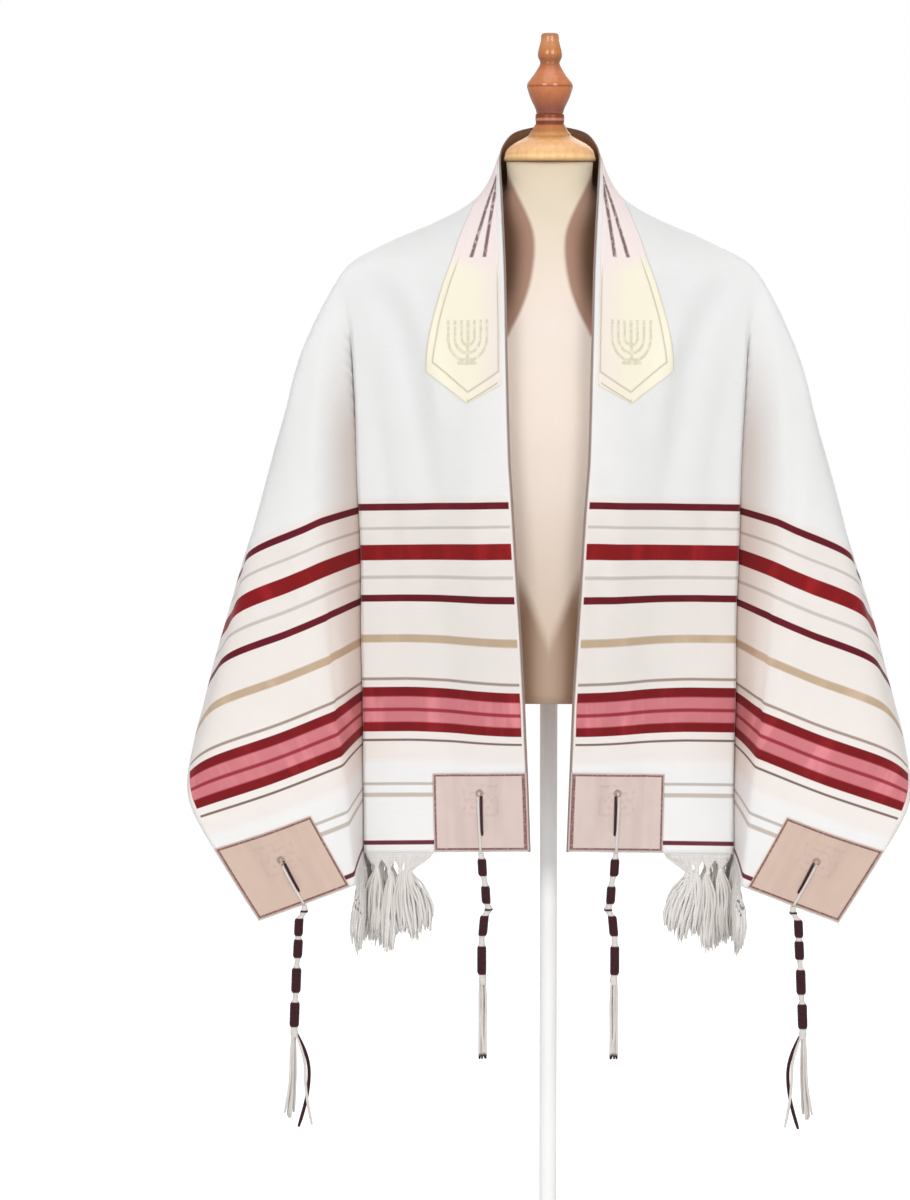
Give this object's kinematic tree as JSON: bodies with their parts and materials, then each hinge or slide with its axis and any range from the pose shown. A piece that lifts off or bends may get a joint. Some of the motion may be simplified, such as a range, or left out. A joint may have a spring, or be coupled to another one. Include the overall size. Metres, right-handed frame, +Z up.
{
  "type": "tallit prayer shawl on a dress form",
  "caption": "Tallit prayer shawl with striped fringed ends, corner patches, knotted tzitzit and a neckband, draped over a limbless dress form on a round-base stand.",
  "frame": {"origin": "centre of the stand's base, on the floor", "axes": "+Z up along the pole, -Y towards the front, where the shawl's striped ends hang, +X towards the right of someone who faces the front"},
  "size_m": [0.8314, 0.38, 1.52],
  "materials": {
    "white_cloth": "matt weave",
    "cream_satin": "satin",
    "pink_satin": "satin",
    "white_thread": "matt",
    "maroon_cord": "matt",
    "cream_cover": "matt",
    "turned_wood": "glossy varnish",
    "white_metal": "satin"
  },
  "bodies": {
    "root": {"shawl": "white_cloth", "neckband": "cream_satin", "patch_left_inner": "pink_satin", "patch_left_outer": "pink_satin", "patch_right_inner": "pink_satin", "patch_right_outer": "pink_satin", "fringe_left": "white_thread", "fringe_right": "white_thread", "tzitzit_left_inner": "maroon_cord", "tzitzit_left_outer": "maroon_cord", "tzitzit_right_inner": "maroon_cord", "tzitzit_right_outer": "maroon_cord", "form_torso": "cream_cover", "form_neck_cap": "turned_wood", "form_finial": "turned_wood", "stand_pole": "white_metal", "stand_base": "white_metal"}
  },
  "joints": []
}
